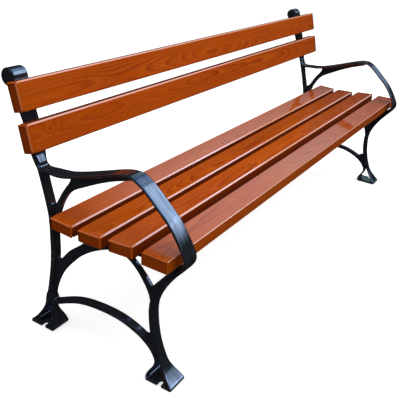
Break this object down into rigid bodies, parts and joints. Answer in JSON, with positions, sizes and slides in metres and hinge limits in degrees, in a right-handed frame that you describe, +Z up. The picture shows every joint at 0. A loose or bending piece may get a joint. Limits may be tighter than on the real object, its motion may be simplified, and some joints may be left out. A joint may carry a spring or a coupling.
{
  "type": "garden bench",
  "caption": "Slatted wooden garden bench on black cast-iron end frames with curling armrests, arched legs and a low leaning back.",
  "frame": {"origin": "on the ground under the middle of the bench's box", "axes": "+Z up, +X along the boards to the sitter's left, the sitter faces -Y"},
  "size_m": [1.8, 0.5618, 0.7245],
  "materials": {
    "painted_casting": "gloss black paint over smooth castings",
    "back_boards": "warm orange-brown lacquer, semi-gloss, straight grain with a few cathedral figures",
    "seat_boards": "warm chestnut lacquer, semi-gloss, straight grain",
    "zinc_fasteners": "zinc-plated"
  },
  "bodies": {
    "root": {"end_frame_left": "painted_casting", "end_frame_right": "painted_casting", "back_slat_lower": "back_boards", "back_slat_upper": "back_boards", "seat_slat_1": "seat_boards", "seat_slat_2": "seat_boards", "seat_slat_3": "seat_boards", "seat_slat_4": "seat_boards", "screw_back_slat_lower_left": "zinc_fasteners", "washer_back_slat_lower_left": "zinc_fasteners", "screw_back_slat_lower_right": "zinc_fasteners", "washer_back_slat_lower_right": "zinc_fasteners", "screw_back_slat_upper_left": "zinc_fasteners", "washer_back_slat_upper_left": "zinc_fasteners", "screw_back_slat_upper_right": "zinc_fasteners", "washer_back_slat_upper_right": "zinc_fasteners", "screw_seat_slat_1_left": "zinc_fasteners", "washer_seat_slat_1_left": "zinc_fasteners", "screw_seat_slat_1_right": "zinc_fasteners", "washer_seat_slat_1_right": "zinc_fasteners", "screw_seat_slat_2_left": "zinc_fasteners", "washer_seat_slat_2_left": "zinc_fasteners", "screw_seat_slat_2_right": "zinc_fasteners", "washer_seat_slat_2_right": "zinc_fasteners", "screw_seat_slat_3_left": "zinc_fasteners", "washer_seat_slat_3_left": "zinc_fasteners", "screw_seat_slat_3_right": "zinc_fasteners", "washer_seat_slat_3_right": "zinc_fasteners", "screw_seat_slat_4_left": "zinc_fasteners", "washer_seat_slat_4_left": "zinc_fasteners", "screw_seat_slat_4_right": "zinc_fasteners", "washer_seat_slat_4_right": "zinc_fasteners"}
  },
  "joints": []
}
